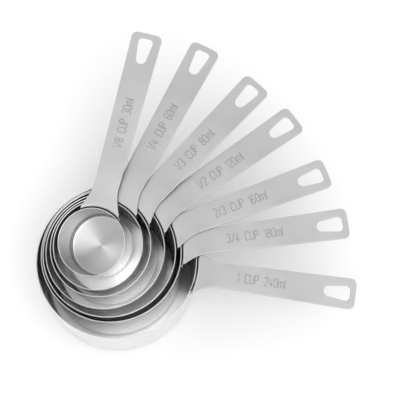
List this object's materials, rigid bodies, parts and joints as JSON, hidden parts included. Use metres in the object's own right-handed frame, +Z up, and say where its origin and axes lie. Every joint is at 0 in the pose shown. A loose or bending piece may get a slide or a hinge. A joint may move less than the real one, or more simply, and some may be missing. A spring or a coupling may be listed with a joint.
{
  "type": "measuring cup set",
  "caption": "Nested stainless steel dry measuring cups, each a drawn bowl with a flat strip handle and a hanging slot, fanned out in their nest",
  "frame": {"origin": "centre of the underside of the 1 cup measure, on the surface that the set stands on", "axes": "+Z up along the axis of the 1 cup measure; +X toward the handle side of the fan; +Y toward the handles of the smallest measures"},
  "size_m": [0.1813, 0.1746, 0.07],
  "materials": {
    "bowl_steel": "satin stainless steel, spun, with a bright rim",
    "handle_steel": "satin stainless steel, brushed along the handle"
  },
  "bodies": {
    "one_cup": {"one_cup_bowl": "bowl_steel", "one_cup_handle": "handle_steel"},
    "three_quarter_cup": {"three_quarter_cup_bowl": "bowl_steel", "three_quarter_cup_handle": "handle_steel"},
    "two_thirds_cup": {"two_thirds_cup_bowl": "bowl_steel", "two_thirds_cup_handle": "handle_steel"},
    "half_cup": {"half_cup_bowl": "bowl_steel", "half_cup_handle": "handle_steel"},
    "third_cup": {"third_cup_bowl": "bowl_steel", "third_cup_handle": "handle_steel"},
    "quarter_cup": {"quarter_cup_bowl": "bowl_steel", "quarter_cup_handle": "handle_steel"},
    "eighth_cup": {"eighth_cup_bowl": "bowl_steel", "eighth_cup_handle": "handle_steel"}
  },
  "joints": [
    {"name": "three_quarter_cup_lift", "type": "slide", "parent": "one_cup", "child": "three_quarter_cup", "axis": [0, 0, 1], "range_m": [0, 0.05]},
    {"name": "two_thirds_cup_lift", "type": "slide", "parent": "three_quarter_cup", "child": "two_thirds_cup", "axis": [-0.0175, -0.0017, 0.9998], "range_m": [0, 0.046]},
    {"name": "half_cup_lift", "type": "slide", "parent": "two_thirds_cup", "child": "half_cup", "axis": [-0.0285, -0.0055, 0.9996], "range_m": [0, 0.046]},
    {"name": "third_cup_lift", "type": "slide", "parent": "half_cup", "child": "third_cup", "axis": [-0.0725, -0.0342, 0.9968], "range_m": [0, 0.042]},
    {"name": "quarter_cup_lift", "type": "slide", "parent": "third_cup", "child": "quarter_cup", "axis": [-0.1162, -0.0763, 0.9903], "range_m": [0, 0.038]},
    {"name": "eighth_cup_lift", "type": "slide", "parent": "quarter_cup", "child": "eighth_cup", "axis": [-0.1361, -0.1101, 0.9845], "range_m": [0, 0.036]}
  ]
}
